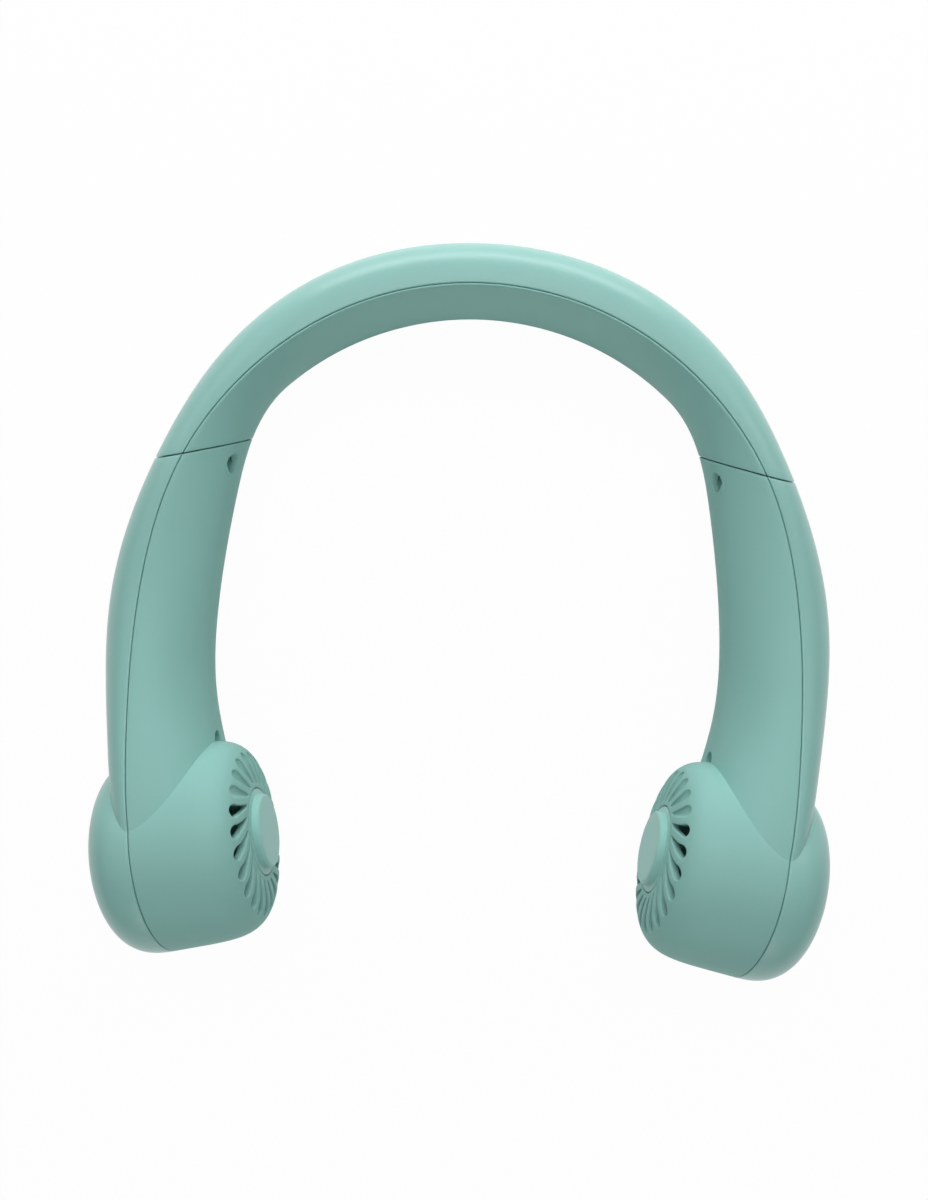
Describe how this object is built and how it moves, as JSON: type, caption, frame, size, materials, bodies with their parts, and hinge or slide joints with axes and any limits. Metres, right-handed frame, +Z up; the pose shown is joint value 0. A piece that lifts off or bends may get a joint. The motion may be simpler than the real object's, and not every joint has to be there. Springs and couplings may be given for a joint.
{
  "type": "neck fan",
  "caption": "neck-worn fan: a domed arch joins two hollow arms that end in round fan heads with swirl grilles, impellers, motors, cells and controls inside",
  "frame": {"origin": "under the middle of the fan's box, at the height of its lowest points, with the fan lying flat", "axes": "+Z up, out of the flat plan; +Y from the neck towards the middle of the arch; +X towards the arm with the controls"},
  "size_m": [0.1986, 0.198, 0.054],
  "materials": {
    "mint_plastic": "satin moulded plastic",
    "grey_plastic": "matte moulded plastic",
    "steel": "plain steel",
    "copper_winding": "enamelled copper winding",
    "black_plastic": "matte black plastic",
    "green_board": "coated circuit board",
    "light_guide_plastic": "clear glossy plastic",
    "cell_sleeve": "shrink sleeve"
  },
  "bodies": {
    "housing": {"arch_inner_shell": "mint_plastic", "arch_outer_shell": "mint_plastic", "left_inner_shell": "mint_plastic", "left_outer_shell": "mint_plastic", "right_inner_shell": "mint_plastic", "right_outer_shell": "mint_plastic", "left_inner_cap": "mint_plastic", "left_outer_cap": "mint_plastic", "right_inner_cap": "mint_plastic", "right_outer_cap": "mint_plastic", "left_motor_mount": "grey_plastic", "right_motor_mount": "grey_plastic", "left_stator": "copper_winding", "right_stator": "copper_winding", "left_lower_bearing": "steel", "left_upper_bearing": "steel", "right_lower_bearing": "steel", "right_upper_bearing": "steel", "left_lower_screw": "steel", "left_upper_screw": "steel", "right_lower_screw": "steel", "right_upper_screw": "steel", "usb_c_port": "steel", "tact_switch": "black_plastic", "cross_lead": "black_plastic", "control_board": "green_board", "light_guide": "light_guide_plastic", "left_cell": "cell_sleeve", "right_cell": "cell_sleeve"},
    "left_rotor": {"left_impeller": "mint_plastic", "left_rotor_bell": "steel", "left_motor_shaft": "steel"},
    "right_rotor": {"right_impeller": "mint_plastic", "right_rotor_bell": "steel", "right_motor_shaft": "steel"},
    "button": {"power_button": "grey_plastic"}
  },
  "joints": [
    {"name": "left_fan_spin", "type": "hinge", "parent": "housing", "child": "left_rotor", "pos_m": [-0.0793, -0.07202, 0.027], "axis": [0.9759, 0.2181, 0], "continuous": true},
    {"name": "right_fan_spin", "type": "hinge", "parent": "housing", "child": "right_rotor", "pos_m": [0.0793, -0.07202, 0.027], "axis": [-0.9759, 0.2181, 0], "continuous": true},
    {"name": "power_button_press", "type": "slide", "parent": "housing", "child": "button", "axis": [-0.9159, -0.0054, 0.4013], "range_m": [0, 0.0004], "stiffness_N_per_m": 500, "springref_m": -0.0002}
  ]
}
